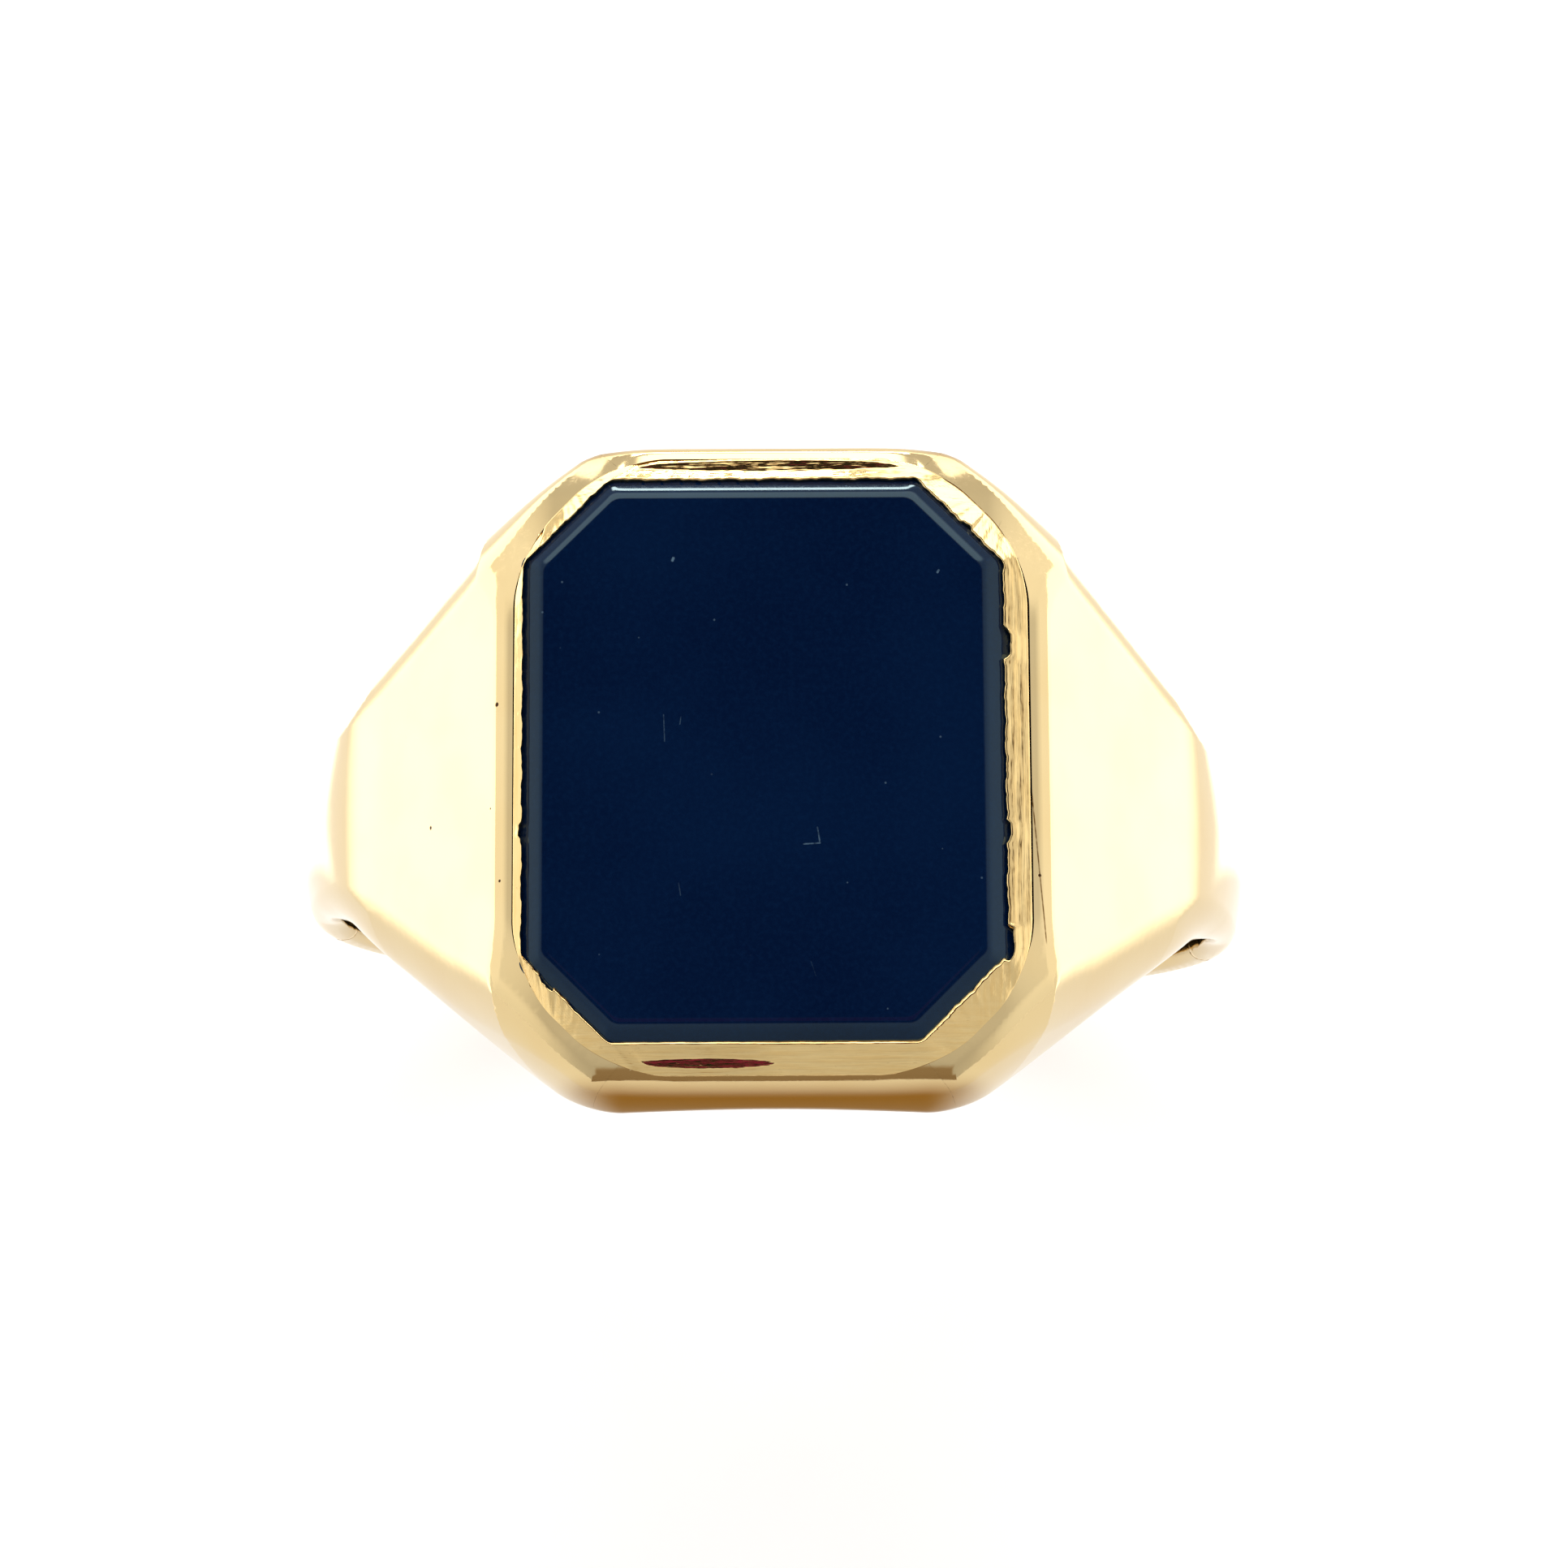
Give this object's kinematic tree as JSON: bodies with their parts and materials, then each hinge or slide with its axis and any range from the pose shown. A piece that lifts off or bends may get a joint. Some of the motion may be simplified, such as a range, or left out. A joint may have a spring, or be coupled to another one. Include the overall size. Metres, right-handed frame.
{
  "type": "signet ring",
  "caption": "Gold signet ring with tapered flat shoulders and a dark cut-corner hardstone tablet held in a rub-over bezel.",
  "frame": {"origin": "centre of the finger hole, midway along its length", "axes": "+Z from the finger up through the stone, Y along the finger, X across it"},
  "size_m": [0.0214, 0.0138, 0.0236],
  "materials": {
    "hardstone": "polished dark blue-black agate",
    "bezel_gold": "burnished 9 carat yellow gold",
    "ring_gold": "polished 9 carat yellow gold, lightly worn",
    "inner_gold": "bright 9 carat yellow gold, less polished inside",
    "solder": "gold solder, a little paler than the ring"
  },
  "bodies": {
    "root": {"stone": "hardstone", "bezel": "bezel_gold", "bearing_strip": "inner_gold", "base_plate": "inner_gold", "near_cheek": "ring_gold", "far_cheek": "ring_gold", "left_shoulder": "ring_gold", "right_shoulder": "ring_gold", "shank": "ring_gold", "left_solder_joint": "solder", "right_solder_joint": "solder"}
  },
  "joints": []
}
